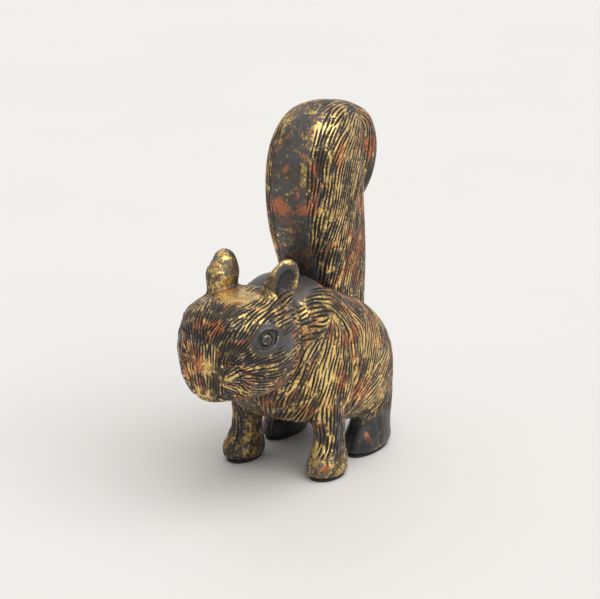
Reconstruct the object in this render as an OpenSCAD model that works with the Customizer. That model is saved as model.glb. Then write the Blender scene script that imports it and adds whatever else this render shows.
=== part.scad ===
// Squirrel nutcracker: a hollow metal body standing on four padded feet, with a nut well open along
// its back, and a bushy tail hinged between the haunches that is both the lever and the moving jaw.
// +X points to the nose, +Y to the animal's left, +Z up. The origin is on the table, under the
// middle of the body.

/* [Body] */
// Length from the nose to the rump
body_l = 168; // [142:1:202]
// Height of the back above the table
back_h = 108; // [92:1:130]
// Width across the haunches
haunch_w = 80; // [75:1:96]
// Length of the head from nape to nose
head_l = 74; // [64:1:84]
// Width of the head across the cheeks
head_w = 66; // [56:1:80]
// Height of the head from chin to crown
head_h = 62; // [53:1:74]
// Height of the middle of the head above the table
head_z = 84; // [78:1:94]
// Height of an ear above the crown
ear_h = 18; // [14:1:22]
// Distance between the middles of the ears
ear_gap = 34; // [29:1:40]
// Thickness of the casting's walls
wall = 4.5; // [3.5:0.5:6]

/* [Feet] */
// Distance between the middles of a left and a right foot
stance_w = 55; // [50:1:64]
// Place of the front feet along the body
front_foot_x = 1; // [-6:1:8]
// Place of the rear feet along the body
rear_foot_x = -47; // [-52:1:-44]
// Length of a front foot
front_foot_l = 31; // [26:1:34]
// Length of a rear foot
rear_foot_l = 44; // [36:1:50]
// Width of a foot
foot_w = 22; // [19:1:25]
// Thickness of a foot pad
pad_t = 1.6; // [1:0.1:3]
// How far a pad stays inside the edge of its foot
pad_inset = 1.2; // [0.6:0.1:2]

/* [Nut well] */
// Width of the well, which the foot of the tail fills
well_w = 42; // [36:1:46]
// Place of the anvil wall along the body
anvil_x = -7; // [-10:1:0]
// Height of the well's floor above the table
well_floor = 50; // [47:1:58]
// Free gap between the jaw and the anvil when the tail rests forward
jaw_gap = 9; // [7:0.5:13]
// Depth of a tooth on the jaw and on the anvil
tooth = 1.6; // [1:0.1:2.2]

/* [Tail] */
// Height of the tail's top above the table
tail_h = 204; // [172:1:246]
// Greatest width of the tail
tail_w = 48; // [40:1:58]
// Greatest depth of the tail from front to back
tail_d = 60; // [52:1:70]
// Free gap at each side of the tail's foot
side_gap = 1; // [0.7:0.1:1.6]
// Gap under the tail's foot where it comes to rest on the well's floor
rest_gap = 0.4; // [0.3:0.1:0.8]

/* [Hinge] */
// Diameter of the hinge pin
pin_d = 8; // [6:0.5:10]
// Running clearance around the pin, on the radius
pin_clear = 0.06; // [0.03:0.01:0.1]
// Place of the pin along the body
pivot_x = -57; // [-60:1:-54]
// Height of the pin above the table
pivot_z = 42; // [40:1:46]
// Radius of the round end of the tail
knuckle_r = 13; // [11:0.5:15]
// How far the tail swings back
swing = 42; // [34:1:46]

/* [Hidden] */
ring_sides = 32;
limb_sides = 20;
round_sides = 64;

// Free gap between the round end of the tail and its trough
trough_gap = 1.5;
plug_d = pin_d + 3;
plug_l = 5;
flank_y = haunch_w / 2 - 1.5;
pin_left = flank_y - 4;
pin_right = -(flank_y - plug_l - 1.2);
washer_t = side_gap - 0.3;
washer_d = 2 * knuckle_r - 3;
crown = head_z + head_h / 2;
head_back = body_l / 2 - head_l;
jaw_x = anvil_x - jaw_gap;
tail_rear = pivot_x - knuckle_r;
tooth_pitch = 5;
tooth_count = 6;

// ---- Smooth shapes from a few stations ----

function sign_pow(v, e) = sign(v) * pow(abs(v), e);

// A smooth curve through the rows, where s counts rows
function row_at(rows, s) =
    let(
        last = len(rows) - 1,
        i = min(floor(s), last - 1),
        t = s - i,
        a = rows[max(i - 1, 0)],
        b = rows[i],
        c = rows[i + 1],
        d = rows[min(i + 2, last)]
    )
    0.5 * (2 * b + (c - a) * t + (2 * a - 5 * b + 4 * c - d) * t * t + (3 * b - a - 3 * c + d) * t * t * t);

function rows_between(rows, n) = [for (i = [0:n]) row_at(rows, i * (len(rows) - 1) / n)];

// A skin over rings of the same number of points, closed at both ends
module skin(rings) {
    n = len(rings[0]);
    last = len(rings) - 1;
    points = [for (r = rings) each r];
    sides = [
        for (i = [0:last - 1], k = [0:n - 1])
        let(a = i * n + k, b = i * n + (k + 1) % n)
        each [[a, b, b + n], [a, b + n, a + n]]
    ];
    first_end = [for (k = [1:n - 2]) [0, k + 1, k]];
    last_end = [for (k = [1:n - 2]) [last * n, last * n + k, last * n + k + 1]];
    polyhedron(points = points, faces = concat(first_end, sides, last_end), convexity = 6);
}

// Rings across the body: each row is [x, z of the widest place, half width, height above, depth below].
// The power e squares the ring off as it drops under 1, from the widest place up.
function upright_rings(rows, n, e) = [
    for (r = rows) [
        for (k = [0:n - 1])
        let(c = cos(360 * k / n), s = sin(360 * k / n), p = s > 0 ? e : 0.92)
        [r[0], -r[2] * sign_pow(c, p), r[1] + (s > 0 ? r[3] : r[4]) * sign_pow(s, p)]
    ]
];

// Level rings: each row is [z, x, y, half length, half width]
function level_rings(rows, n, e) = [
    for (r = rows) [
        for (k = [0:n - 1])
        [r[1] + r[3] * sign_pow(cos(360 * k / n), e), r[2] - r[4] * sign_pow(sin(360 * k / n), e), r[0]]
    ]
];

// ---- The body ----

// Height of the body's lower edge, which drops from the chest to the haunches
function belly_z(x) = 30 + 0.22 * x;

// Each row is [share of body length, middle height, half width, height above, depth below]
trunk_rows = [
    for (r = [
        [-0.500, 0.370, 0.10, 0.05, 0.05],
        [-0.485, 0.370, 0.46, 0.17, 0.12],
        [-0.450, 0.370, 0.71, 0.28, 0.18],
        [-0.380, 0.380, 0.88, 0.39, 0.24],
        [-0.280, 0.400, 0.97, 0.47, 0.26],
        [-0.160, 0.420, 0.98, 0.54, 0.27],
        [-0.050, 0.460, 0.94, 0.585, 0.29],
        [0.040, 0.520, 0.86, 0.525, 0.30],
        [0.110, 0.580, 0.76, 0.42, 0.28],
        [0.180, 0.640, 0.60, 0.30, 0.22],
        [0.220, 0.660, 0.30, 0.15, 0.12]
    ])
    [r[0] * body_l, r[1] * back_h, r[2] * haunch_w / 2, r[3] * back_h, r[4] * back_h]
];

// Each row is [share of head length, rise of the middle, half width, height above, depth below]
head_rows = [
    for (r = [
        [0.00, 0.02, 0.36, 0.36, 0.42],
        [0.08, 0.02, 0.56, 0.72, 0.72],
        [0.21, 0.01, 0.76, 0.92, 0.84],
        [0.37, 0.00, 0.92, 1.00, 0.85],
        [0.53, 0.00, 1.00, 1.00, 0.82],
        [0.69, 0.00, 0.95, 0.97, 0.78],
        [0.82, 0.00, 0.77, 0.90, 0.72],
        [0.92, -0.02, 0.58, 0.77, 0.64],
        [0.98, -0.06, 0.43, 0.58, 0.52],
        [1.00, -0.10, 0.30, 0.38, 0.34]
    ])
    [
        head_back + r[0] * head_l,
        head_z + r[1] * head_h,
        r[2] * head_w / 2,
        r[3] * head_h / 2,
        r[4] * head_h / 2
    ]
];

// The same rows moved in by t all round and at both ends
function shrunk(rows, t) =
    let(
        first = rows[0][0],
        last = rows[len(rows) - 1][0],
        middle = (first + last) / 2,
        share = 1 - 2 * t / (last - first)
    )
    [
        for (r = rows)
        [
            middle + (r[0] - middle) * share,
            r[1],
            max(r[2] - t, 0.8),
            max(r[3] - t, 0.8),
            max(r[4] - t, 0.8)
        ]
    ];

// The same rings cut off flat along the lower edge of the body, drop below it
function flat_below(rings, drop) = [
    for (ring = rings) [for (p = ring) [p[0], p[1], max(p[2], belly_z(p[0]) - drop)]]
];

module trunk() skin(flat_below(upright_rings(rows_between(trunk_rows, 24), ring_sides, 0.75), 0));

module head() skin(upright_rings(rows_between(head_rows, 24), ring_sides, 0.72));

function front_leg_rows(side) =
    let(y = side * stance_w / 2, x = front_foot_x, l = front_foot_l / 2, w = foot_w / 2)
    [
        [pad_t, x, y, l - 1, w - 1],
        [5, x + 0.5, y, l, w],
        [11, x - 0.5, y, l - 2, w - 0.5],
        [17, x - 2, y, l - 5, w - 2],
        [24, x - 3, y * 0.98, l - 5.5, w - 2.5],
        [34, x - 3, y * 0.94, l - 3, w - 1.5],
        [46, x - 3, y * 0.85, l + 1, w + 0.5],
        [60, x - 2, y * 0.72, l + 3, w + 1],
        [74, x - 1, y * 0.62, l - 1, w - 3]
    ];

function rear_leg_rows(side) =
    let(y = side * stance_w / 2, x = rear_foot_x, l = rear_foot_l / 2, w = foot_w / 2)
    [
        [pad_t, x, y, l - 1, w - 1],
        [5, x, y, l, w],
        [12, x - 1, y, l - 2, w - 0.5],
        [19, x - 4, y, l - 5, w - 1],
        [26, x - 3, y * 0.98, l - 1, w],
        [38, x - 1, y * 0.92, l + 3, w + 1.5],
        [52, x, y * 0.86, l + 3, w + 2],
        [64, x, y * 0.76, l - 4, w],
        [72, x + 1, y * 0.7, l - 12, w - 5]
    ];

module leg(rows) skin(level_rings(rows_between(rows, 16), limb_sides, 1));

// Each row is [height above the crown, x, y, half length, half width] before the ear is put in place
function ear_rows(side) =
    let(x = head_back + head_l * 0.36, y = side * ear_gap / 2)
    [
        [crown - 16, x + 2, y - side, 12, 7],
        [crown - 6, x + 2, y, 12.5, 7],
        [crown + ear_h * 0.15, x + 0.5, y + side, 11.5, 6.2],
        [crown + ear_h * 0.5, x - 1.5, y + side * 1.8, 9.5, 5],
        [crown + ear_h * 0.8, x - 3.5, y + side * 2, 6.2, 3.6],
        [crown + ear_h * 0.95, x - 4.5, y + side * 2, 3, 2],
        [crown + ear_h, x - 4.8, y + side * 2, 1, 0.8]
    ];

module ear(side) skin(level_rings(rows_between(ear_rows(side), 10), limb_sides, 1));

// The hollow of an ear, open outwards
module ear_cup(side) {
    x = head_back + head_l * 0.36;
    y = side * (ear_gap / 2 + 7.5);
    rows = [
        [crown - 7, x, y, 1, 1],
        [crown - 4, x, y, 6, 4.5],
        [crown + ear_h * 0.1, x - 0.5, y, 8, 6],
        [crown + ear_h * 0.4, x - 2, y + side * 0.4, 6.8, 5.6],
        [crown + ear_h * 0.65, x - 3.5, y + side * 0.8, 3.8, 4],
        [crown + ear_h * 0.8, x - 4.2, y + side, 0.8, 1.4]
    ];
    skin(level_rings(rows_between(rows, 10), 16, 1));
}

// The space inside the casting, open along the belly
module core() {
    skin(flat_below(upright_rings(rows_between(shrunk(trunk_rows, wall), 16), 24, 0.75), 1));
    skin(upright_rings(rows_between(shrunk(head_rows, wall + 1), 14), 24, 0.78));
}

function around_pivot(r, a) = [pivot_x + r * cos(a), pivot_z + r * sin(a)];

// Side outline of the well and of the slot the tail swings back through, grown by t
function well_outline(t) =
    let(
        r = knuckle_r + trough_gap + t,
        step_x = pivot_x + knuckle_r + trough_gap + t,
        low = around_pivot(r, 180 + swing),
        far = low + 70 * [-sin(swing), cos(swing)]
    )
    [
        [anvil_x + t, back_h + 20],
        [anvil_x + t, well_floor - t],
        [step_x, well_floor - t],
        [step_x, pivot_z],
        [pivot_x, pivot_z - r / 2],
        low,
        far,
        [far[0], back_h + 20]
    ];

module across(w) rotate([90, 0, 0]) translate([0, 0, -w / 2]) children();

module at_pivot() translate([pivot_x, 0, pivot_z]) children();

module well_space(t, w) {
    across(w) linear_extrude(height = w) polygon(well_outline(t));
    at_pivot() across(w) cylinder(h = w, r = knuckle_r + trough_gap + t, $fn = round_sides);
}

// A row of sharp bars across the well, standing out towards dir from a block of the given depth
module teeth(x, z, dir, w, depth) {
    outline = [
        for (i = [0:tooth_count - 1])
        each [[x, z + i * tooth_pitch], [x + dir * tooth, z + (i + 0.5) * tooth_pitch]]
    ];
    top = z + tooth_count * tooth_pitch;
    back = [[x, top], [x - dir * depth, top], [x - dir * depth, z]];
    across(w) linear_extrude(height = w) polygon(concat(outline, back));
}

module body_shape() {
    trunk();
    head();
    for (side = [-1, 1]) {
        leg(front_leg_rows(side));
        leg(rear_leg_rows(side));
        ear(side);
    }
}

module pin_boss() at_pivot() across(haunch_w) cylinder(h = haunch_w, d = plug_d + 8, $fn = round_sides);

// Everything but the bores, as one skin
module rough_casting() {
    resize([0, 0, 0]) union() {
        difference() {
            body_shape();
            difference() {
                core();
                well_space(wall, well_w + 2 * wall);
                pin_boss();
            }
            well_space(0, well_w);
            ear_cup(1);
            ear_cup(-1);
        }
        teeth(anvil_x, well_floor + 3, -1, well_w + 1, 1);
    }
}

module body_casting() {
    color([0.45, 0.38, 0.24]) {
        difference() {
            rough_casting();
            // Bore for the pin, open on the right flank and blind on the left
            translate([pivot_x, pin_left, pivot_z]) rotate([90, 0, 0])
                cylinder(h = pin_left + haunch_w, d = pin_d, $fn = round_sides);
            translate([pivot_x, pin_right, pivot_z]) rotate([90, 0, 0])
                cylinder(h = haunch_w, d = plug_d, $fn = round_sides);
        }
    }
}

// ---- The tail ----

// Each row is [height, middle x, y, half depth, half width]
tail_rows = let(
    foot_z = well_floor + rest_gap,
    foot_w = well_w / 2 - side_gap,
    mid = (jaw_x + tail_rear) / 2,
    half = (jaw_x - tail_rear) / 2,
    rise = tail_h - back_h,
    d = tail_d / 2,
    w = tail_w / 2
)
[
    [foot_z, mid, 0, half, foot_w],
    [foot_z + 10, mid, 0, half, foot_w],
    [foot_z + 20, mid, 0, half, foot_w],
    [foot_z + 32, mid - 0.5, 0, half - 0.5, foot_w],
    [back_h - 14, mid - 1, 0, d * 0.89, foot_w],
    [back_h + rise * 0.06, mid + 2, 0, d * 0.92, w * 0.91],
    [back_h + rise * 0.24, mid + 7, 0, d * 0.98, w * 0.98],
    [back_h + rise * 0.42, mid + 10, 0, d, w],
    [back_h + rise * 0.60, mid + 10.5, 0, d, w],
    [back_h + rise * 0.76, mid + 8.5, 0, d * 0.94, w * 0.97],
    [back_h + rise * 0.89, mid + 5, 0, d * 0.80, w * 0.84],
    [back_h + rise * 0.97, mid + 2, 0, d * 0.56, w * 0.60],
    [back_h + rise, mid + 1, 0, d * 0.20, w * 0.20]
];

curl_rows = [
    for (r = [
        [0.32, -63, 0.12, 0.16],
        [0.38, -65, 0.32, 0.48],
        [0.50, -66.5, 0.48, 0.70],
        [0.66, -66.5, 0.57, 0.82],
        [0.80, -64, 0.57, 0.82],
        [0.91, -60, 0.50, 0.68],
        [0.98, -54, 0.22, 0.30]
    ])
    [back_h + r[0] * (tail_h - back_h), r[1], 0, r[2] * tail_d / 2, r[3] * tail_w / 2]
];

module tail_lever() {
    foot_w = well_w - 2 * side_gap;
    color([0.50, 0.42, 0.25]) {
        difference() {
            union() {
                skin(level_rings(rows_between(tail_rows, 36), ring_sides, 0.75));
                skin(level_rings(rows_between(curl_rows, 14), limb_sides, 1));
                at_pivot() across(foot_w) cylinder(h = foot_w, r = knuckle_r, $fn = round_sides);
                translate([tail_rear, -foot_w / 2, pivot_z])
                    cube([2 * knuckle_r, foot_w, well_floor + 4 - pivot_z]);
                teeth(jaw_x - 0.5, well_floor + 3, 1, foot_w - 6, 12);
            }
            at_pivot() across(haunch_w) cylinder(h = haunch_w, d = pin_d + 2 * pin_clear, $fn = round_sides);
        }
    }
}

// ---- Hinge parts ----

module hinge_pin() {
    l = pin_left - pin_right;
    color([0.62, 0.63, 0.65])
        translate([pivot_x, pin_left, pivot_z]) rotate([90, 0, 0]) {
            cylinder(h = 1, d1 = pin_d - 2, d2 = pin_d, $fn = round_sides);
            translate([0, 0, 1]) cylinder(h = l - 2, d = pin_d, $fn = round_sides);
            translate([0, 0, l - 1]) cylinder(h = 1, d1 = pin_d, d2 = pin_d - 2, $fn = round_sides);
        }
}

module pin_plug_screw() {
    slot_w = 1.6;
    slot_h = 1.8;
    color([0.30, 0.28, 0.26])
        translate([pivot_x, pin_right, pivot_z]) rotate([90, 0, 0])
            difference() {
                cylinder(h = plug_l, d = plug_d, $fn = round_sides);
                translate([-plug_d, -slot_w / 2, plug_l - slot_h]) cube([2 * plug_d, slot_w, 2 * slot_h]);
            }
}

module washer(y) {
    color([0.62, 0.55, 0.36])
        translate([pivot_x, y, pivot_z]) rotate([90, 0, 0])
            difference() {
                cylinder(h = washer_t, d = washer_d, $fn = round_sides);
                translate([0, 0, -1]) cylinder(h = washer_t + 2, d = pin_d + 0.6, $fn = round_sides);
            }
}

module washer_left() washer(well_w / 2);

module washer_right() washer(washer_t - well_w / 2);

// ---- Foot pads ----

module pad(row) {
    color([0.09, 0.09, 0.09])
        linear_extrude(height = pad_t)
            polygon([
                for (k = [0:47])
                let(a = 360 * k / 48)
                [row[1] + (row[3] - pad_inset) * cos(a), row[2] + (row[4] - pad_inset) * sin(a)]
            ]);
}

module pad_front_left() pad(front_leg_rows(1)[0]);

module pad_front_right() pad(front_leg_rows(-1)[0]);

module pad_rear_left() pad(rear_leg_rows(1)[0]);

module pad_rear_right() pad(rear_leg_rows(-1)[0]);

body_casting();
tail_lever();
hinge_pin();
pin_plug_screw();
washer_left();
washer_right();
pad_front_left();
pad_front_right();
pad_rear_left();
pad_rear_right();
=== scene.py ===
"""Squirrel nutcracker: the cast figure with its combed coat, the tail lever and their hardware.

Lengths inside the carving functions are millimetres; meshes are in metres, as the frame is.
"""

import math

import bpy
import numpy as np
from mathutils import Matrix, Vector
from mathutils.bvhtree import BVHTree
from mathutils.kdtree import KDTree


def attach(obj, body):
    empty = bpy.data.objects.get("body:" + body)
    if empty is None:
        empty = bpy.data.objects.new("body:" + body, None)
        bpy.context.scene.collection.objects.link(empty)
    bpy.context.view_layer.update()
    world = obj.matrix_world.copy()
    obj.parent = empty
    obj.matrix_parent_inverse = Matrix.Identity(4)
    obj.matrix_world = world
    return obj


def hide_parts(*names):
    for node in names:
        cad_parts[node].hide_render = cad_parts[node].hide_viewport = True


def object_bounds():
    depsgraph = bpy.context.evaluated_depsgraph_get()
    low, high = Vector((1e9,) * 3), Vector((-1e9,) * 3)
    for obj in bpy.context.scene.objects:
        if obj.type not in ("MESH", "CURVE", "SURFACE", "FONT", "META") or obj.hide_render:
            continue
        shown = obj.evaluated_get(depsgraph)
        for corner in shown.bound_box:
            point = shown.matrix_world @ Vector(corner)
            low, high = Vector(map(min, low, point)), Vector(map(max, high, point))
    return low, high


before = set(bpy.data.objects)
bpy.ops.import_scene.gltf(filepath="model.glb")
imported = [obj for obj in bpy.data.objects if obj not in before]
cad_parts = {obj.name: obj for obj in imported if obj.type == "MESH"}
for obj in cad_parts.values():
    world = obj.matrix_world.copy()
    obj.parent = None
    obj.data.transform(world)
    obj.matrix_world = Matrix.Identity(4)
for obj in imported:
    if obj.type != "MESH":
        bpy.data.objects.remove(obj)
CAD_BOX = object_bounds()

bl_info = {
    "name": "Squirrel Nutcracker",
    "version": (1, 0, 0),
    "blender": (4, 5, 0),
    "location": "3D View > Sidebar > Nutcracker",
    "description": "Carves the coat of a cast squirrel nutcracker and gives its parts their finishes",
    "category": "Add Mesh",
}

MM = 0.001
CAD_LOW, CAD_HIGH = (np.array(corner) for corner in CAD_BOX)

# Length of one step along a stroke of the coat, in millimetres
STRIDE = 0.8
# How many places are tried as the start of a stroke that no other stroke leads to
STARTS = 30000
# Rounds of smoothing that take the facets out of a casting
SMOOTHING = 60
# Share of the faces that hidden walls keep
HIDDEN_SHARE = 0.1


# ---------------------------------------------------------------- shader nodes

class Value:
    """A shader socket that can be written in a sum."""

    def __init__(self, shader, socket):
        self.shader, self.socket = shader, socket

    def _math(self, operation, first, second):
        return self.shader.node("ShaderNodeMath", {"operation": operation}, {0: first, 1: second})

    def __add__(self, other):
        return self._math("ADD", self, other)

    def __sub__(self, other):
        return self._math("SUBTRACT", self, other)

    def __rsub__(self, other):
        return self._math("SUBTRACT", other, self)

    def __mul__(self, other):
        return self._math("MULTIPLY", self, other)

    __radd__, __rmul__ = __add__, __mul__


class Shader:
    """A material under construction: one method adds any node."""

    def __init__(self, name):
        self.material = bpy.data.materials.new(name)
        self.material.use_nodes = True
        self.tree = self.material.node_tree
        self.surface = self.tree.nodes["Principled BSDF"]

    def node(self, kind, settings, inputs, output=0):
        added = self.tree.nodes.new(kind)
        for key, setting in settings.items():
            setattr(added, key, setting)
        self.feed(added, inputs)
        return Value(self, added.outputs[output])

    def feed(self, node, inputs):
        for key, given in inputs.items():
            if isinstance(given, Value):
                self.tree.links.new(given.socket, node.inputs[key])
            else:
                node.inputs[key].default_value = given

    def attribute(self, name):
        return self.node("ShaderNodeAttribute", {"attribute_name": name}, {}, "Fac")

    def place(self):
        return self.node("ShaderNodeTexCoord", {}, {}, "Object")

    def noise(self, place, scale, detail=3.0, rough=0.55):
        return self.node("ShaderNodeTexNoise", {}, {
            "Vector": place, "Scale": scale, "Detail": detail, "Roughness": rough}, "Fac")

    def rise(self, value, low, high, start=0.0, end=1.0):
        """Runs smoothly from start to end while value goes from low to high."""
        return self.node("ShaderNodeMapRange", {"interpolation_type": "SMOOTHSTEP"}, {
            "Value": value, "From Min": low, "From Max": high, "To Min": start, "To Max": end}, "Result")

    def mix(self, factor, first, second):
        return self.node("ShaderNodeMix", {"data_type": "RGBA"}, {0: factor, 6: first, 7: second}, 2)

    def bump(self, height, strength, distance):
        return self.node("ShaderNodeBump", {}, {
            "Height": height, "Strength": strength, "Distance": distance}, "Normal")


# ------------------------------------------------------------ mesh and carving

def merged_copy(node, name):
    """A copy of a CAD node with its loose triangles joined, alone in the selection."""
    piece = bpy.data.objects.new(name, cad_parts[node].data.copy())
    piece.data.name = name
    piece.data.materials.clear()
    bpy.context.scene.collection.objects.link(piece)
    bpy.ops.object.select_all(action="DESELECT")
    piece.select_set(True)
    bpy.context.view_layer.objects.active = piece
    bpy.ops.object.mode_set(mode="EDIT")
    bpy.ops.mesh.select_all(action="SELECT")
    bpy.ops.mesh.remove_doubles(threshold=0.01 * MM)
    bpy.ops.object.mode_set(mode="OBJECT")
    return piece


def apply_modifier(piece, kind, **settings):
    bpy.context.view_layer.objects.active = piece
    bpy.ops.object.modifier_add(type=kind)
    modifier = piece.modifiers[-1]
    for key, setting in settings.items():
        setattr(modifier, key, setting)
    bpy.ops.object.modifier_apply(modifier=modifier.name)


class Skin:
    """The points, normals and edges of a mesh in millimetres, to be shaped in place."""

    def __init__(self, piece):
        self.piece, mesh = piece, piece.data
        self.count = len(mesh.vertices)
        self.at = self.read(mesh.vertices, "co", 3) / MM
        edges = np.zeros(len(mesh.edges) * 2, np.int32)
        mesh.edges.foreach_get("vertices", edges)
        self.a, self.b = edges.reshape(-1, 2).T
        self.degree = np.bincount(self.a, minlength=self.count) + np.bincount(self.b, minlength=self.count)
        self.refresh()

    @staticmethod
    def read(items, field, width):
        flat = np.zeros(len(items) * width)
        items.foreach_get(field, flat)
        return flat.reshape(-1, width)

    def refresh(self):
        """Writes the points back and takes the new normals; side is 1 on the left and -1 on the right."""
        mesh = self.piece.data
        mesh.vertices.foreach_set("co", (self.at * MM).ravel())
        mesh.update()
        self.normal = self.read(mesh.vertex_normals, "vector", 3)
        self.side = np.where(self.at[:, 1] < 0, -1.0, 1.0)
        self.half = self.at * [1, 0, 1] + np.abs(self.at) * [0, 1, 0]

    def around(self, values):
        """The mean of each point's neighbours."""
        values = values.reshape(self.count, -1)
        total = np.stack([
            np.bincount(self.a, v[self.b], self.count) + np.bincount(self.b, v[self.a], self.count)
            for v in values.T], 1)
        return total / np.maximum(self.degree, 1)[:, None]

    def smooth(self, amount, rounds):
        for _ in range(rounds):
            self.at += amount[:, None] * 0.5 * (self.around(self.at) - self.at)
        self.refresh()

    def spread(self, values, rounds):
        for _ in range(rounds):
            values = 0.5 * values + 0.5 * self.around(values)[:, 0]
        return values

    def mirrored(self, direction):
        """A left-hand direction for every point, turned over on the right side."""
        ones = np.ones(self.count)
        return np.array(direction, float) * np.stack([ones, self.side, ones], 1)

    def near(self, place, radius):
        """1 at a place and its twin on the other side, falling to 0 a radius and a half away."""
        return np.exp(-((self.half - place) ** 2).sum(1) / (0.6 * radius) ** 2)

    def paint(self, spots):
        """A sum of soft spots, each a place, a radius and a weight."""
        return sum(weight * self.near(place, radius) for place, radius, weight in spots)

    def swell(self, spots):
        """Moves the surface out, or in where the weight is below zero, by soft spots in millimetres."""
        self.at += self.normal * self.paint(spots)[:, None]
        self.refresh()

    def gap_to(self, line):
        """Distance of every point to a line of places, on whichever side it is."""
        best = np.full(self.count, 1e9)
        for start, end in zip(np.array(line[:-1], float), np.array(line[1:], float)):
            run = end - start
            share = np.clip(((self.half - start) @ run) / (run @ run), 0, 1)
            best = np.minimum(best, np.linalg.norm(self.half - start - share[:, None] * run, axis=1))
        return best

    def crease(self, line, width, depth, keep=None):
        """Presses a soft channel along a line of places."""
        amount = depth * np.exp(-(self.gap_to(line) / width) ** 2)
        self.at -= self.normal * (amount if keep is None else amount * keep)[:, None]
        self.refresh()

    def write(self, name, values):
        attribute = self.piece.data.attributes.new(name, "FLOAT", "POINT")
        attribute.data.foreach_set("value", np.asarray(values, np.float32))


def step(value, low, high):
    t = np.clip((value - low) / (high - low), 0, 1)
    return t * t * (3 - 2 * t)


def comb(skin, lay, waver):
    """The way that the coat lies at each point: a stroke has no head or tail, so lines are averaged."""
    tensor = np.zeros((skin.count, 3, 3))
    for place, way, reach in lay:
        way = skin.mirrored(np.array(way) / np.linalg.norm(way))
        weight = reach / (((skin.half - place) ** 2).sum(1) + 9) ** 1.6
        tensor += weight[:, None, None] * way[:, :, None] * way[:, None, :]
    flat = np.eye(3) - skin.normal[:, :, None] * skin.normal[:, None, :]
    _, axes = np.linalg.eigh(flat @ tensor @ flat)
    way = axes[:, :, 2]
    x, y, z = skin.at.T
    waves = np.sin(x / 4.1 + z / 6.3) + np.sin(z / 1.6 - y / 2.2 + x / 2.9) + np.sin((x + y) / 7.9 - z / 9.1)
    turn = waver * waves
    across = np.cross(skin.normal, way)
    return way * np.cos(turn)[:, None] + across * np.sin(turn)[:, None]


def tree_of(skin):
    faces = [tuple(polygon.vertices) for polygon in skin.piece.data.polygons]
    return BVHTree.FromPolygons([tuple(p) for p in skin.at], faces), faces


def draw_strokes(skin, way, free, pitch, longest, seed):
    """Strokes that follow the coat side by side, a pitch apart. Each is a list of points on the surface."""
    rng = np.random.default_rng(seed)
    tree, faces = tree_of(skin)
    cell = float(pitch.max())
    grid, strokes, beside = {}, [], []

    def crowded(p, gap, own=-1):
        i, j, k = (math.floor(c / cell) for c in p)
        for di in (-1, 0, 1):
            for dj in (-1, 0, 1):
                for dk in (-1, 0, 1):
                    for q, stroke in grid.get((i + di, j + dj, k + dk), ()):
                        if stroke != own and (q - p).length_squared < gap * gap:
                            return True
        return False

    def land(p):
        """The surface's nearest place to p, and the mesh point closest to that."""
        place, _, face, _ = tree.find_nearest(p)
        return place, min(faces[face], key=lambda v: (Vector(skin.at[v]) - place).length_squared)

    def run(start, vertex, sense, length, number):
        p, heading, path = start, Vector(way[vertex]) * sense, []
        for _ in range(int(length / STRIDE)):
            direction = Vector(way[vertex])
            if direction.dot(heading) < 0:
                direction = -direction
            heading = (heading * 0.4 + direction * 0.6).normalized()
            p, vertex = land(p + heading * STRIDE)
            if free[vertex] < 0.3 or crowded(p, 0.6 * float(pitch[vertex]), number):
                break
            path.append((p, vertex))
        return path

    for first in rng.permutation(np.flatnonzero(free > 0.5))[:STARTS]:
        beside.append((Vector(skin.at[first]), first))
        while beside:
            start, vertex = beside.pop()
            gap = float(pitch[vertex])
            if free[vertex] < 0.5 or crowded(start, 0.9 * gap):
                continue
            number, length = len(strokes), float(longest[vertex]) * rng.uniform(0.25, 0.6)
            stroke = run(start, vertex, -1, length, number)[::-1] + [(start, vertex)]
            stroke += run(start, vertex, 1, length, number)
            if len(stroke) < 4:
                continue
            strokes.append([p for p, _ in stroke])
            for p, v in stroke:
                grid.setdefault(tuple(math.floor(c / cell) for c in p), []).append((p, number))
            for p, v in stroke[::4]:
                across = Vector(skin.normal[v]).cross(Vector(way[v])) * float(pitch[v])
                beside += [land(p + across), land(p - across)]
    return strokes


def engrave(skin, strokes, pitch, width, depth, free, seed):
    """Cuts the strokes into the surface, and keeps each point's gap to the nearest cut and its tone."""
    rng = np.random.default_rng(seed)
    count = sum(len(s) for s in strokes)
    places, along = np.zeros((count, 3)), np.zeros((count, 3))
    half, owner = np.zeros(count), np.zeros(count, int)
    at = 0
    for number, stroke in enumerate(strokes):
        line = np.array(stroke)
        run = np.gradient(line, axis=0)
        size = len(line)
        places[at:at + size] = line
        along[at:at + size] = run / np.linalg.norm(run, axis=1)[:, None]
        taper = np.sin(np.pi * (np.arange(size) + 0.7) / (size + 0.4)) ** 0.6
        half[at:at + size] = taper * rng.uniform(0.75, 1.15)
        owner[at:at + size] = number
        at += size
    tree = KDTree(count)
    for i, p in enumerate(places):
        tree.insert(p, i)
    tree.balance()
    tones = rng.uniform(0, 1, len(strokes))
    gap, full, tone = np.full(skin.count, 3.0), np.zeros(skin.count), np.full(skin.count, 0.5)
    for v in np.flatnonzero(free > 0.02):
        found = tree.find_n(skin.at[v], 7)
        if not found or found[0][2] > 4:
            continue
        i = found[0][1]
        away = skin.at[v] - places[i]
        slide = float(np.clip(away @ along[i], -0.45, 0.45))
        gap[v] = np.linalg.norm(away - slide * along[i])
        full[v] = half[i]
        other = next((owner[f[1]] for f in found if owner[f[1]] != owner[i]), owner[i])
        tone[v] = 0.5 * (tones[owner[i]] + tones[other])
    bare = np.clip(free, 0, 1)
    cut = width * full * (0.35 + 0.65 * bare)
    skin.at -= skin.normal * (depth * full * bare * np.exp(-(gap / (0.25 * pitch)) ** 2))[:, None]
    skin.refresh()
    skin.write("carve", np.clip(gap - cut, -1, 3))
    skin.write("tone", tone)


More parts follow.
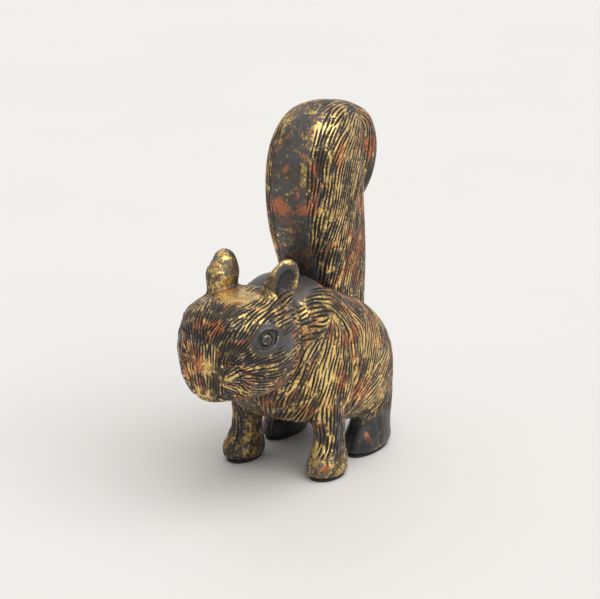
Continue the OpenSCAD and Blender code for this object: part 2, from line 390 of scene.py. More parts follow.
def cut_coat(skin, coat, lay, waver, free, pitch, longest, seed):
    way = comb(skin, lay, waver)
    strokes = draw_strokes(skin, way, free, pitch, longest, seed)
    engrave(skin, strokes, pitch, 0.5 * coat.width / MM, coat.depth / MM, free, seed + 1)


def thin_out(skin, hidden):
    """Leaves only a share of the faces on the walls that nobody sees."""
    share = float((hidden > 0.9).mean())
    group = skin.piece.vertex_groups.new(name="hidden")
    group.add([int(v) for v in np.flatnonzero(hidden > 0.9)], 1.0, "REPLACE")
    apply_modifier(skin.piece, "DECIMATE", ratio=1 - share * (1 - HIDDEN_SHARE), vertex_group="hidden")
    skin.piece.vertex_groups.clear()


def close_skin(skin, hidden, material):
    """Keeps the skin inside the CAD box, thins its hidden walls and gives it its finish."""
    skin.at = np.clip(skin.at, CAD_LOW / MM, CAD_HIGH / MM)
    skin.refresh()
    thin_out(skin, hidden)
    bpy.ops.object.shade_smooth()
    skin.piece.data.materials.append(material)


def in_head(centre):
    """Whether a face lies in front of the slanting border down the neck."""
    return centre.x > (31 + 0.275 * (100 - centre.z / MM)) * MM


def in_haunches(centre):
    """Whether a face lies behind the crease of the flank."""
    return centre.x < -12 * MM


def part_off(piece, name, beyond):
    """Takes the faces whose middle lies beyond a border into a mesh of their own."""
    bpy.ops.object.select_all(action="DESELECT")
    piece.select_set(True)
    bpy.context.view_layer.objects.active = piece
    for item in (piece.data.vertices, piece.data.edges):
        item.foreach_set("select", [False] * len(item))
    for face in piece.data.polygons:
        face.select = beyond(face.center)
    bpy.ops.object.mode_set(mode="EDIT")
    bpy.ops.mesh.separate(type="SELECTED")
    bpy.ops.object.mode_set(mode="OBJECT")
    parted = next(o for o in bpy.context.selected_objects if o != piece)
    parted.name = parted.data.name = name
    return parted


def finished_casting(piece, body, node):
    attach(piece, body)
    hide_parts(node)


# ------------------------------------------------------------------ the finish

def patina(name, look):
    """Cast metal under a dark wash, rubbed back to brass and copper on the raised coat, with a painted glint
    on the crests, and painted shade and sheen carried in the mesh's attributes.
    """
    s = Shader(name)
    place = s.place()
    carve, tone, rub_and_painted_shade, copper, wash_and_painted_shade = (s.attribute(n) for n in ("carve", "tone", "rub_and_painted_shade", "copper", "wash_and_painted_shade"))
    # Noise from clouds as wide as a leg down to the grain of the metal
    broad, patch, spot, grain = (s.noise(place, f, 4.0, 0.6) for f in (60, 230, 700, 2000))
    # How far a place stands from the nearest cut, with a ragged edge
    lip = carve + (spot - 0.5) * 0.5 + (grain - 0.5) * 0.35
    ridge, crest = s.rise(lip, -0.1, 0.3), s.rise(lip, 0.14, 0.5)
    # Where the wash has been rubbed off, down to brass, and above that a painted glint of bright gold on the
    # crests
    bare = tone * 0.45 + broad * 0.7 + patch * 0.6 + spot * 0.6 + rub_and_painted_shade
    worn = s.rise(bare, 1.1, 1.28) * crest
    # Painted glint: bright gold flecks on the crests that stand in for highlights
    glint = s.rise(bare + grain * 0.5 + spot * 0.3, 1.58, 1.78) * crest
    reddish = s.rise(broad * 0.4 + s.noise(place, 105, 4.0) + spot * 0.45 + copper * 0.6, 0.92, 1.06)
    # The unrubbed metal with its slate that also paints a sheen, and over it the wash with the painted
    # shade, the copper, the rubbed places and the painted glint
    shade = s.mix(s.rise(patch * 0.7 + tone * 0.5, 0.4, 0.8), look.bronze, look.olive)
    shade = s.mix(s.rise(broad + spot * 0.5 + wash_and_painted_shade * 0.3, 0.68, 0.86), shade, look.slate)
    colour = s.mix(ridge * (1 - wash_and_painted_shade * 0.8), look.wash, shade)
    colour = s.mix(reddish * s.rise(lip, -0.2, 0.4) * 0.75, colour, look.copper)
    colour = s.mix(worn * (1 - wash_and_painted_shade * 0.6), colour, s.mix(reddish * 0.8, look.brass, look.copper))
    colour = s.mix(glint * (1 - wash_and_painted_shade * 0.6), colour, look.gold)
    s.feed(s.surface, {
        "Base Color": colour,
        "Metallic": s.rise(worn + reddish * 0.4, 0.0, 1.0, 0.4, 0.95),
        "Roughness": 0.36 + (grain - 0.5) * 0.3 - worn * 0.08,
        "Normal": s.bump(ridge * 0.5 + grain * 0.4 + spot * 0.7, 0.75, 0.4 * MM),
    })
    s.surface.inputs["Specular IOR Level"].default_value = 0.55
    return s.material


def plain_metal(name, colour, roughness, metallic=1.0):
    """Turned or stamped metal with a faint brushed grain and tarnish in patches."""
    s = Shader(name)
    place = s.place()
    stain, grain = s.noise(place, 130, 4.0), s.noise(place, 2600)
    dull = tuple(c * 0.45 for c in colour[:3]) + (1.0,)
    s.feed(s.surface, {
        "Base Color": s.mix(s.rise(stain, 0.4, 0.65), colour, dull),
        "Metallic": metallic,
        "Roughness": s.rise(stain, 0.3, 0.7, roughness, roughness + 0.2) + (grain - 0.5) * 0.1,
        "Normal": s.bump(grain, 0.25, 0.1 * MM),
    })
    return s.material


def rubber(name, colour):
    s = Shader(name)
    place = s.place()
    grain = s.noise(place, 1800, 4.0)
    s.feed(s.surface, {
        "Base Color": s.mix(s.rise(grain, 0.35, 0.7), colour, tuple(c * 2.2 for c in colour[:3]) + (1.0,)),
        "Roughness": s.rise(s.noise(place, 300), 0.3, 0.7, 0.7, 0.9),
        "Normal": s.bump(grain, 0.5, 0.15 * MM),
    })
    return s.material


def colour_property(name, description, default):
    return bpy.props.FloatVectorProperty(
        name=name, description=description, default=default + (1.0,), size=4, subtype="COLOR", min=0, max=1)


class CoatSettings(bpy.types.PropertyGroup):
    """How the coat is cut."""

    pitch: bpy.props.FloatProperty(
        name="Tuft pitch", description="Distance between neighbouring cuts of the coat, in metres",
        default=2.5 * MM, min=2 * MM, max=6 * MM, subtype="DISTANCE", unit="LENGTH")
    width: bpy.props.FloatProperty(
        name="Cut width", description="Width of a cut at its middle, in metres",
        default=1.1 * MM, min=0.4 * MM, max=2 * MM, subtype="DISTANCE", unit="LENGTH")
    depth: bpy.props.FloatProperty(
        name="Cut depth", description="Depth of a cut at its middle, in metres",
        default=0.7 * MM, min=0.1 * MM, max=1.2 * MM, subtype="DISTANCE", unit="LENGTH")
    length: bpy.props.FloatProperty(
        name="Tuft length", description="Length of the longest cuts on the trunk, in metres",
        default=24 * MM, min=5 * MM, max=40 * MM, subtype="DISTANCE", unit="LENGTH")
    body_voxel: bpy.props.FloatProperty(
        name="Body grain", description="Size of a facet on the figure, in metres",
        default=0.6 * MM, min=0.55 * MM, max=2 * MM, subtype="DISTANCE", unit="LENGTH")
    tail_voxel: bpy.props.FloatProperty(
        name="Tail grain", description="Size of a facet on the tail lever, in metres",
        default=0.6 * MM, min=0.55 * MM, max=2 * MM, subtype="DISTANCE", unit="LENGTH")


class FinishSettings(bpy.types.PropertyGroup):
    """The colours of the metals, the dark wash and the pads."""

    wash: colour_property("Dark wash", "What stays in the cuts of the coat", (0.012, 0.012, 0.014))
    bronze: colour_property("Bronze", "Brown metal under the wash", (0.08, 0.049, 0.023))
    olive: colour_property("Olive", "Greenish brown of the patina", (0.12, 0.09, 0.042))
    # The slate is a grey film made light enough to also paint the sheen of the glossy coat
    slate: colour_property("Slate", "Grey film left on the broad patches", (0.11, 0.107, 0.107))
    brass: colour_property("Brass", "Metal rubbed bare on the ridges", (0.5, 0.335, 0.11))
    # Gold is rubbed metal brightened into a painted glint on the crests
    gold: colour_property("Gold", "The brightest rubbed spots", (0.88, 0.62, 0.23))
    copper: colour_property("Copper", "Reddish patches", (0.52, 0.16, 0.065))
    steel: colour_property("Steel", "The hinge pin", (0.56, 0.56, 0.58))
    screw: colour_property("Screw", "The blackened plug screw", (0.06, 0.06, 0.065))
    washer: colour_property("Washer", "The washers beside the lever", (0.50, 0.36, 0.16))
    pad: colour_property("Pad", "The pads under the feet", (0.012, 0.012, 0.013))


class StageSettings(bpy.types.PropertyGroup):
    """The floor, its lights and the view."""

    floor: colour_property("Floor", "Colour of the floor", (0.735, 0.722, 0.705))
    key: bpy.props.FloatProperty(
        name="Key light", description="Strength of the broad light from above", default=2.0, min=0, max=10)
    fill: bpy.props.FloatProperty(
        name="Fill", description="Brightness of the room all round", default=0.58, min=0, max=3)


# The coat's lay on the left side: a place in millimetres, the way it lies there and how far that reaches.
BODY_LAY = (
    ((64, 10, 113), (0.9, -0.3, -0.4), 1), ((68, 0, 112), (0.8, 0, -0.5), 1),
    ((44, 7, 115), (1, 0.2, -0.2), 1), ((71, 18, 107), (0.6, -0.3, -0.7), 1),
    ((80, 10, 101), (0.3, -0.3, -0.9), 1), ((84, 3, 84), (0, 0, -1), 1), ((54, 22, 110), (1, 0, -0.3), 1),
    ((77, 20, 83), (-0.8, 0.6, 0.3), 1), ((66, 29, 86), (-1, 0.3, 0.1), 1),
    ((72, 25, 78), (-0.9, 0.5, -0.1), 1), ((60, 30, 76), (-0.9, 0.4, -0.1), 1),
    ((74, 20, 73), (-0.9, 0.1, -0.3), 1), ((52, 24, 65), (-0.9, 0.1, -0.3), 1),
    ((73, 24, 88), (-0.8, 0.5, 0.4), 1), ((48, 32, 98), (-1, 0, 0.1), 1),
    ((33, 27, 102), (-1, 0.1, -0.1), 1), ((10, 28, 100), (-1, 0.1, -0.1), 1),
    ((30, 28, 93), (-1, 0.1, -0.2), 1), ((14, 30, 92), (-1, 0.1, -0.3), 0.7),
    ((4, 32, 86), (0.5, 0, -0.8), 1), ((16, 31, 73), (0.5, 0, -0.8), 1), ((9, 34, 60), (0.2, 0, -1), 1),
    ((22, 29, 64), (0.1, -0.4, -0.9), 1), ((30, 20, 60), (0.1, -0.5, -0.9), 1),
    ((21, 20, 42), (0.1, -0.3, -1), 1), ((36, 0, 60), (0, 0, -1), 1), ((3, 34, 40), (0.1, 0, -1), 1),
    ((-7, 32, 91), (-0.6, 0.3, -0.8), 1), ((-12, 35, 74), (0.1, 0, -1), 1),
    ((-22, 31, 90), (-0.7, 0.2, -0.7), 1), ((-36, 35, 77), (0.4, 0.2, -0.9), 1),
    ((-22, 37, 62), (0.5, 0, -0.9), 1), ((-49, 38, 54), (0.9, 0, -0.5), 1),
    ((-30, 39, 47), (0.9, 0, -0.4), 1), ((-52, 38, 40), (0.8, 0, -0.5), 1),
    ((-38, 36, 31), (0.8, 0, -0.5), 1), ((-66, 33, 60), (0.3, 0.4, -0.9), 1),
    ((-78, 20, 55), (0, 0.4, -0.9), 1), ((-60, 30, 82), (0.3, 0.3, -0.9), 1),
    ((-45, 34, 18), (0.3, 0, -1), 1),
)
TAIL_LAY = (
    ((-33, 14, 201), (0.9, 0, -0.5), 1), ((-45, 4, 203), (1, 0, 0), 1), ((-34, 21, 192), (0.8, 0, -0.5), 1),
    ((-18, 21, 182), (0.6, 0, -0.8), 1), ((-11, 19, 168), (0.2, 0, -1), 1),
    ((-24, 23, 145), (0.3, -0.1, -0.9), 1), ((-17, 20, 125), (0, -0.2, -1), 1),
    ((-41, 23, 128), (0.3, 0, -0.9), 1), ((-4, 0, 172), (0.1, 0, -1), 1), ((-10, 0, 130), (-0.1, 0, -1), 1),
    ((-34, 23, 165), (0.4, 0, -0.9), 1), ((-48, 23, 170), (0.4, 0, -0.9), 1),
    ((-62, 18, 180), (0.1, 0, -1), 1), ((-62, 14, 197), (0.7, 0, 0.6), 1), ((-72, 0, 185), (0, 0, -1), 1),
    ((-60, 0, 150), (0.2, 0, -1), 1), ((-56, 0, 110), (0.1, 0, -1), 1), ((-50, 20, 100), (0.1, 0, -1), 1),
)

# Creases and forms of the body's left side: lines of places (toes with their depth), and spots, each with a
# place, a radius and a weight.
NECK = ((36, 27, 103), (30, 29, 94), (36, 30, 87), (45, 31, 76), (44, 27, 62), (38, 14, 52))
FLANK = ((-1, 31, 92), (-7, 34, 84), (-11, 36, 76), (-13, 38, 62), (-13, 38, 48), (-12, 37, 38))
WHISKER_PAD = ((83, 10, 86), (80, 17, 86), (77, 20, 80), (77, 19, 74), (77, 14, 68))
MOUTH = ((84, 0, 66), (82, 7, 66), (76, 13, 66), (70, 18, 68))
LIP = ((84, 0, 74), (84, 0, 65))
FRONT_TOES = (
    (((10, 32, 15), (13, 33, 9), (15, 33, 3)), 1.1),
    (((6, 36, 13), (7, 37, 8), (8, 38, 3)), 1.1),
    (((12, 24, 15), (15, 24, 9), (17, 24, 3)), 1.0),
)
WRIST = ((14, 27, 19), (7, 33, 19), (-6, 36, 14))
REAR_TOES = (
    (((-31, 33, 18), (-28, 34, 9), (-27, 34, 2)), 1.2),
    (((-31, 27, 18), (-26, 27, 9), (-25, 27, 2)), 1.1),
)
HEEL = ((-44, 36, 24), (-43, 39, 12), (-43, 39, 3))
ANKLE = ((-21, 30, 24), (-33, 37, 25), (-48, 39, 26), (-62, 34, 27))
BODY_FORMS = (
    ((71, 19, 106), 6, 0.9), ((60, 27, 104), 6, 0.5), ((62, 31, 84), 9, 0.7), ((78, 16, 78), 6, 0.9),
    ((76, 22, 90), 5, -1.1), ((84, 0, 93), 15, -1.8), ((84, 0, 84), 12, -1.0), ((54, 31, 91), 6, -0.4),
    ((83, 7, 69), 2.2, -1.7), ((78, 14, 104), 12, 1.7), ((83, 13, 92), 11, -1.6), ((70, 9, 113), 8, 0.5),
    ((2, 33, 84), 8, 0.6), ((-34, 38, 55), 16, 0.5), ((10, 35, 9), 7, 0.6), ((-32, 35, 10), 7, 0.5),
)
# Where the coat is left uncut, where it is rubbed bright, where copper shows, and where the wash stays or
# shade is painted (the low rear feet).
BODY_UNCUT = (
    ((52, 33, 94), 8, 1.3), ((80, 13, 77), 9, 0.75), ((84, 3, 68), 8, 0.9), ((84, 0, 84), 18, 0.8),
)
BODY_RUBBED = (
    ((84, 0, 84), 14, 0.02), ((55, 0, 115), 20, 0.2), ((51, 33, 94), 9, -0.2), ((62, 27, 78), 14, 0.08),
    ((12, 32, 8), 10, -0.1), ((0, 32, 70), 30, 0.1), ((10, 29, 98), 16, 0.1), ((-2, 12, 112), 6, 0.15),
    ((36, 19, 133), 4, 0.15), ((44, 16, 122), 5, 0.05), ((-36, 36, 64), 24, 0.1),
)
BODY_COPPER = (
    ((80, 6, 108), 9, 0.35), ((78, 10, 90), 9, 0.2), ((14, 33, 10), 7, 0.4), ((-34, 36, 12), 9, 0.42),
    ((-20, 38, 50), 14, 0.25), ((30, 30, 75), 9, 0.25), ((-20, 15, 106), 9, 0.35), ((56, 22, 66), 8, 0.2),
    ((40, 34, 60), 10, 0.2), ((2, 34, 60), 10, 0.25), ((-38, 38, 66), 9, 0.3),
)
BODY_WASH_AND_SHADE = (
    ((72, 23, 90), 5, 0.3), ((53, 33, 94), 9, 0.45), ((83, 5, 67), 5, 0.7), ((-30, 34, 12), 12, 0.6),
    ((-48, 36, 12), 10, 0.5), ((36, 26, 90), 6, 0.4), ((78, 14, 108), 5, 0.35),
)
TAIL_RUBBED = (
    ((-28, 20, 194), 20, 0.2), ((-28, 23, 160), 26, 0.1), ((-28, 22, 120), 20, 0.1),
    ((-66, 8, 182), 18, -0.3),
)
TAIL_COPPER = (
    ((-62, 18, 175), 10, 0.4), ((-46, 22, 120), 14, 0.3), ((-6, 6, 150), 12, 0.25), ((-60, 0, 180), 12, 0.3),
    ((-8, 14, 122), 10, 0.35), ((-22, 22, 176), 9, 0.25), ((-52, 20, 150), 10, 0.2),
)

# The left ear: the middle of its root, how far it is turned forward, its cup, and the way the cup opens.
EAR_ROOT = (36, 18)
EAR_TURN = math.radians(23)
EAR_CUP = (37, 21.5, 121)
EAR_CUP_SIZE = (5.5, 6.5, 9.5)
EAR_OPENS = np.array((0.42, 0.88, 0.2))

# The left eye: its middle, the way that it faces, and the way from its rear corner to its front one.
EYE = np.array((65.2, 27.4, 98.0))
EYE_FACES = np.array((0.52, 0.84, 0.17))
EYE_SLANT = np.array((12.0, -6.2, -6.3))

# Middle height of the trunk's hollow, and the half width and front end of the nut well
HOLLOW_HEIGHT = 62
WELL_SIDE = 22.3
WELL_FRONT = -6.2


def hidden_walls(skin):
    """The walls of the nut well, and with them those of the trunk's hollow, which nobody sees."""
    x, y, z = skin.half.T
    reach = np.hypot(y, z - HOLLOW_HEIGHT)
    outward = skin.normal[:, 1] * skin.side * y + skin.normal[:, 2] * (z - HOLLOW_HEIGHT)
    faces_in = outward / np.maximum(reach, 1) < -0.3
    well = step(WELL_SIDE - y, 0, 0.8) * step(WELL_FRONT - x, 0, 0.8)
    hollow = (faces_in & (x > -76) & (x < 40) & (z < 104) & (z > 29 + 0.22 * x)).astype(float)
    hollow = np.maximum(hollow, (reach < 5) & (x < 70))
    return well, skin.spread(np.maximum(well, hollow), 2)


def on_ears(skin, low, high):
    """1 on the ears above a height, 0 below another."""
    x, y, z = skin.half.T
    return step(z, low, high) * step(x, 20, 24) * step(54 - x, 0, 4) * step(y, 4, 8)


def shape_ears(skin, drawn, ear):
    """Spreads both ears, turns the left one forward, thickens the right one and hollows their cups.

    drawn holds the places from before the smoothing, whose widths the whole skin takes back here.
    """
    x, y, z = drawn
    root_x, root_y = EAR_ROOT
    skin.at[:, 0] += (x - (root_x - 0.28 * (z - 120))) * 0.12 * ear * step(z, 118, 128)
    round_root = step(x, 18, 24) * step(56 - x, 0, 6) * step(y, 2, 7)
    turn = (skin.side > 0) * EAR_TURN * step(z, 111, 119) * round_root
    thicker = (skin.side < 0) * step(z, 113, 124) * round_root
    dx, dy = skin.at[:, 0] - root_x, (y - root_y) * (1 + 0.65 * thicker)
    skin.at[:, 0] = root_x + dx * np.cos(turn) + dy * np.sin(turn)
    skin.at[:, 1] = skin.side * (root_y - dx * np.sin(turn) + dy * np.cos(turn))
    skin.refresh()
    cup = np.exp(-(((skin.half - EAR_CUP) / EAR_CUP_SIZE) ** 2).sum(1) ** 2)
    open_side = skin.normal[:, 0] * EAR_OPENS[0] + skin.normal[:, 1] * skin.side * EAR_OPENS[1]
    cup *= step(open_side, 0.15, 0.6) * ear
    skin.at -= skin.mirrored(EAR_OPENS) * (3.0 * cup)[:, None]
    skin.refresh()
    return cup


def shape_forms(skin, height):
    """Presses in the neck, flank, mouth and toes, and swells the forms of the face and limbs."""
    skin.crease(NECK, 2.6, 1.5)
    skin.crease(FLANK, 2.2, 1.3)
    skin.swell(BODY_FORMS)
    skin.crease(WHISKER_PAD, 1.5, 2.0)
    skin.crease(MOUTH, 1.0, 1.1)
    skin.crease(LIP, 0.9, 0.7)
    for toe, depth in FRONT_TOES:
        skin.crease(toe, 0.9, depth, step(16 - height, 0, 3))
    skin.crease(WRIST, 1.7, 0.8)
    for toe, depth in REAR_TOES:
        skin.crease(toe, 0.9, depth, step(20 - height, 0, 4))
    skin.crease(HEEL, 1.6, 1.1)
    skin.crease(ANKLE, 2.4, 1.8)


def shape_eye(skin):
    """An almond eye: the socket is pressed in, and the ball, its ring and the lids stand in it.

    Gives every point's distance from the eye, the eye's bright ring and its dark lines.
    """
    out = EYE_FACES / np.linalg.norm(EYE_FACES)
    along = EYE_SLANT - (EYE_SLANT @ out) * out
    along /= np.linalg.norm(along)
    across = np.cross(out, along)
    across *= np.sign(across[2])
    away = skin.half - EYE
    a, b, h = away @ along, away @ across, away @ out
    close = (np.abs(h) < 9) & (a * a + b * b < 225)
    push = np.zeros(skin.count)
    reach = a / 7.6
    lid = 4.5 * np.clip(1 - reach ** 2, 0, 1) ** 0.8
    inside = np.abs(b) - lid
    round_ = np.sqrt(a * a + b * b)
    # The shallow socket, the slit between the lids, the ball, the lids, the iris and the pupil
    push -= 1.1 * np.exp(-((a / 9.5) ** 2 + ((b - 0.4) / 6.5) ** 2) ** 2)
    push -= 1.5 * step(-inside, -0.5, 0.9) * step(1.05 - np.abs(reach), 0, 0.2)
    ball = np.sqrt(np.clip(5.4 ** 2 - round_ ** 2, 0, None)) - 3.4
    push += 1.25 * np.clip(ball, 0, 2) * step(-inside, -0.1, 0.6)
    push += 0.65 * np.exp(-((inside - 0.75) / 0.75) ** 2) * step(1.25 - np.abs(reach), 0, 0.35)
    push -= 0.38 * np.exp(-((round_ - 3.1) / 0.42) ** 2) * step(-inside, 0, 0.5)
    push -= 0.75 * np.exp(-(round_ / 1.25) ** 2)
    skin.at += skin.mirrored(out) * (push * close)[:, None]
    skin.refresh()
    distance = np.where(close, np.sqrt((a / 1.25) ** 2 + b * b), 99)
    ring = (np.exp(-((round_ - 2.3) / 0.5) ** 2)
            + 0.8 * np.exp(-((inside - 0.7) / 0.6) ** 2) * (np.abs(reach) < 1.1))
    dark = (np.exp(-(round_ / 1.1) ** 2) + np.exp(-((round_ - 3.3) / 0.5) ** 2)
            + 0.8 * np.exp(-(inside / 0.45) ** 2) * (np.abs(reach) < 1.15))
    return distance, ring * close, dark * close


class NUTCRACKER_OT_cast_body(bpy.types.Operator):
    """Carves the squirrel's head, trunk and legs from the cast body's CAD solid"""

    bl_idname = "nutcracker.cast_body"
    bl_label = "Cast body"

    def execute(self, context):
        coat, look = context.scene.nutcracker_coat, context.scene.nutcracker_finish
        piece = merged_copy("body_casting", "squirrel_shoulders")
        apply_modifier(piece, "REMESH", mode="VOXEL", voxel_size=coat.body_voxel, adaptivity=0.0)
        skin = Skin(piece)
        drawn = skin.half.T
        well, hidden = hidden_walls(skin)
        ear = on_ears(skin, 113, 117)
        skin.smooth((1 - 0.9 * ear) * (1 - 0.97 * well), SMOOTHING)
        cup = shape_ears(skin, drawn, ear)
        shape_forms(skin, drawn[2])
        eye, ring, dark = shape_eye(skin)

        x, y, z = skin.half.T
        right = skin.side < 0
        ears = on_ears(skin, 113.5, 116.5)
        crown = skin.paint([((54, 2, 115), 17, 1.5)])
        saddle = step(z, 94, 100) * step(23 - y, 0, 7) * step(34 - x, 0, 9) * step(x, -22, -12)
        feet = np.maximum(step(15 - z, 0, 4) * step(x, -20, -14), step(25 - z, 0, 4) * step(-16 - x, 0, 4))
        between = step(-skin.normal[:, 1] * skin.side, 0.1, 0.5) * step(42 - z, 0, 10)
        free = 1 - hidden - ears - crown - 0.9 * saddle - feet - 0.8 * between - step(9.5 - eye, 0, 2.5)
        free -= skin.paint(BODY_UNCUT)
        free = np.clip(skin.spread(np.clip(free, 0, 1), 2), 0, 1)

        face = step(x, 58, 76)
        pitch = coat.pitch / MM * (1 - 0.18 * step(x, 34, 46) - 0.12 * face)
        longest = coat.length / MM * (1 - 0.1 * step(x, 36, 50) - 0.3 * face)
        cut_coat(skin, coat, BODY_LAY, 0.09, free, pitch, longest, 11)

        behind = step(-16 - x, 0, 4)
        # Rubbed wear, less in the hollows; the terms on the low rear feet and on the lower right side take
        # it back as painted shade
        rub_and_painted_shade = skin.paint(BODY_RUBBED) + 0.3 * ring - 0.25 * step(8.5 - eye, 0, 2) - 0.02 * ears - 0.3 * cup
        rub_and_painted_shade -= 0.9 * hidden + 0.25 * saddle + 0.12 * step(26 - z, 0, 4) * behind
        rub_and_painted_shade -= 0.02 * step(50 - z, 0, 14) * right
        skin.write("rub_and_painted_shade", rub_and_painted_shade)
        copper = skin.paint(BODY_COPPER) - 0.5 * step(12 - eye, 0, 4) - 0.3 * step(34 - z, 0, 10)
        skin.write("copper", copper - 0.3 * saddle - 0.2 * ears - hidden)
        # The wash stays in the listed spots and the eye's lines; painted shade darkens the low rear feet,
        # the lower right side and the faces between the legs
        wash_and_painted_shade = skin.paint(BODY_WASH_AND_SHADE) + dark + 0.45 * step(9 - eye, 0, 2)
        # The wash along the whisker-pad crease, and painted shade on the low rear feet
        wash_and_painted_shade += 0.6 * np.exp(-(skin.gap_to(WHISKER_PAD) / 1.1) ** 2) + 0.75 * step(24 - z, 0, 3) * behind
        # Painted shade on the lower right side
        wash_and_painted_shade += 0.5 * (step(56 - z, 0, 14) * step(x, -20, -14) + step(26 - z, 0, 6)) * right
        # Painted shade on the faces between the legs; the hidden walls and ear cups darkened; on the saddle
        # a push towards slate that paints its sheen
        wash_and_painted_shade += 0.5 * between + 0.6 * hidden + 0.9 * cup + 0.45 * saddle
        skin.write("wash_and_painted_shade", np.clip(wash_and_painted_shade, 0, 1))
        close_skin(skin, hidden, patina("patina_body", look))
        for name, beyond in (("squirrel_head", in_head), ("squirrel_haunches", in_haunches)):
            finished_casting(part_off(piece, name, beyond), "body", "body_casting")
        finished_casting(piece, "body", "body_casting")
        return {"FINISHED"}


class NUTCRACKER_OT_cast_tail(bpy.types.Operator):
    """Carves the tail that is the nutcracker's lever from its CAD solid"""

    bl_idname = "nutcracker.cast_tail"
    bl_label = "Cast tail lever"

    def execute(self, context):
        coat, look = context.scene.nutcracker_coat, context.scene.nutcracker_finish
        piece = merged_copy("tail_lever", "squirrel_tail")
        apply_modifier(piece, "REMESH", mode="VOXEL", voxel_size=coat.tail_voxel, adaptivity=0.0)
        skin = Skin(piece)
        x, y, z = skin.half.T
        hidden = step(82 - z, 0, 4)
        skin.smooth(1 - 0.95 * hidden, SMOOTHING)
        x, y, z = skin.half.T
        strip = step(skin.normal[:, 0], 0.1, 0.45) * step(14 - y, 0, 5)
        free = np.clip(1 - hidden - 0.8 * strip, 0, 1)
        pitch = coat.pitch / MM * (0.88 - 0.1 * strip)
        longest = coat.length / MM * (1.2 - 0.8 * strip)
        cut_coat(skin, coat, TAIL_LAY, 0.07, free, pitch, longest, 21)
        skin.write("rub_and_painted_shade", skin.paint(TAIL_RUBBED) - 0.12 * strip - 0.6 * hidden)
        skin.write("copper", skin.paint(TAIL_COPPER) - 0.12 * strip - hidden)
        # Darker on the front strip and on the base that sits in the well
        skin.write("wash_and_painted_shade", np.clip(0.3 * strip + 0.4 * hidden, 0, 1))
        close_skin(skin, hidden, patina("patina_tail", look))
        finished_casting(piece, "tail", "tail_lever")
        return {"FINISHED"}


class NUTCRACKER_OT_finish_hardware(bpy.types.Operator):
    """Gives the hinge pin, plug screw, washers and foot pads their metals and rubber"""

    bl_idname = "nutcracker.finish_hardware"
    bl_label = "Finish hardware"

    def execute(self, context):
        look = context.scene.nutcracker_finish
        finishes = {
            "hinge_pin": plain_metal("pin_steel", look.steel, 0.28),
            "pin_plug_screw": plain_metal("blackened_steel", look.screw, 0.42, 0.8),
            "washer": plain_metal("washer_brass", look.washer, 0.34),
            "pad": rubber("pad_rubber", look.pad),
        }
        for name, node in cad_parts.items():
            kind = next((k for k in finishes if name.startswith(k)), None)
            if kind:
                for slot in node.material_slots:
                    slot.material = finishes[kind]
        return {"FINISHED"}


# The view, in millimetres, and the two suns: where each shines from, its share of the key, its width.
CAMERA_PLACE = (824.6, 485.1, 391.2)
CAMERA_TARGET = (-3.6, 7.0, 98.8)
SENSOR_WIDTH, LENS = 36, 107.7
SUNS = (((0.1, 0.75, 1.3), 1.0, math.radians(70)), ((-0.8, -0.3, 0.9), 0.2, math.radians(90)))
ROOM_TINT = (1.0, 0.985, 0.965, 1)


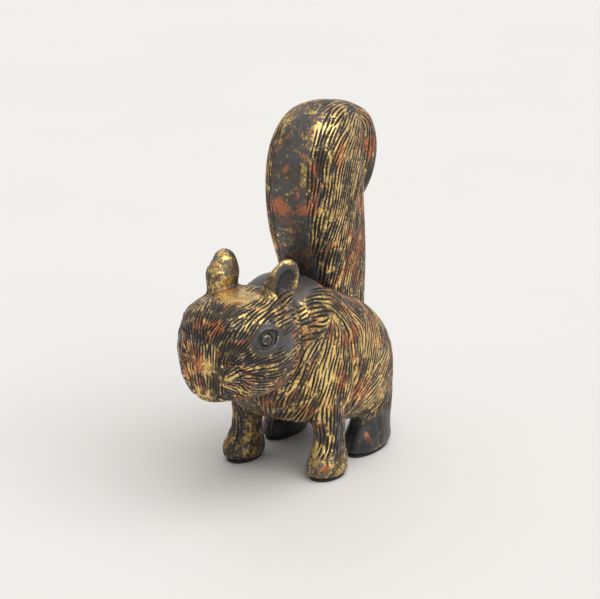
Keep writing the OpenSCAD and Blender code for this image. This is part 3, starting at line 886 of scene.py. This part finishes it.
class NUTCRACKER_OT_set_stage(bpy.types.Operator):
    """Lays the pale floor and sets the soft lights and the camera"""

    bl_idname = "nutcracker.set_stage"
    bl_label = "Set stage"

    def execute(self, context):
        stage = context.scene.nutcracker_stage
        bpy.ops.object.select_all(action="DESELECT")
        bpy.ops.mesh.primitive_plane_add(size=14, location=(0, 0, 0))
        floor = context.active_object
        floor.name = "floor"
        s = Shader("floor")
        s.feed(s.surface, {
            "Base Color": s.mix(s.rise(s.noise(s.place(), 3), 0.3, 0.7), stage.floor,
                                tuple(c * 0.985 for c in stage.floor[:3]) + (1.0,)),
            "Roughness": 0.6,
        })
        floor.data.materials.append(s.material)
        world = bpy.data.worlds.new("soft room")
        world.use_nodes = True
        world.node_tree.nodes["Background"].inputs["Color"].default_value = ROOM_TINT
        world.node_tree.nodes["Background"].inputs["Strength"].default_value = stage.fill
        context.scene.world = world
        for place, share, width in SUNS:
            bpy.ops.object.light_add(type="SUN", location=place)
            lamp = context.active_object
            lamp.data.energy, lamp.data.angle = share * stage.key, width
            lamp.rotation_euler = Vector(place).to_track_quat("Z", "Y").to_euler()
        target = Vector(CAMERA_TARGET) * MM
        bpy.ops.object.camera_add(location=Vector(CAMERA_PLACE) * MM)
        camera = context.active_object
        camera.rotation_euler = (target - camera.location).to_track_quat("-Z", "Y").to_euler()
        camera.data.sensor_width, camera.data.lens = SENSOR_WIDTH, LENS
        camera.data.clip_end = 50
        context.scene.camera = camera
        context.scene.view_settings.view_transform = "Standard"
        return {"FINISHED"}


class NUTCRACKER_PT_sidebar(bpy.types.Panel):
    """The nutcracker's steps and settings"""

    bl_idname = "NUTCRACKER_PT_sidebar"
    bl_label = "Squirrel Nutcracker"
    bl_space_type = "VIEW_3D"
    bl_region_type = "UI"
    bl_category = "Nutcracker"

    def draw(self, context):
        for settings in (context.scene.nutcracker_coat, context.scene.nutcracker_finish,
                         context.scene.nutcracker_stage):
            box = self.layout.box()
            for name in settings.__annotations__:
                box.prop(settings, name)
        for operator in OPERATORS:
            self.layout.operator(operator.bl_idname)


SETTINGS = (CoatSettings, FinishSettings, StageSettings)
OPERATORS = (
    NUTCRACKER_OT_cast_body,
    NUTCRACKER_OT_cast_tail,
    NUTCRACKER_OT_finish_hardware,
    NUTCRACKER_OT_set_stage,
)


def register():
    for cls in SETTINGS + OPERATORS + (NUTCRACKER_PT_sidebar,):
        bpy.utils.register_class(cls)
    bpy.types.Scene.nutcracker_coat = bpy.props.PointerProperty(type=CoatSettings)
    bpy.types.Scene.nutcracker_finish = bpy.props.PointerProperty(type=FinishSettings)
    bpy.types.Scene.nutcracker_stage = bpy.props.PointerProperty(type=StageSettings)


def unregister():
    for name in ("nutcracker_coat", "nutcracker_finish", "nutcracker_stage"):
        delattr(bpy.types.Scene, name)
    for cls in reversed(SETTINGS + OPERATORS + (NUTCRACKER_PT_sidebar,)):
        bpy.utils.unregister_class(cls)


def main():
    register()
    bpy.ops.nutcracker.cast_body()
    bpy.ops.nutcracker.cast_tail()
    bpy.ops.nutcracker.finish_hardware()
    bpy.ops.nutcracker.set_stage()


if __name__ == "__main__":
    main()
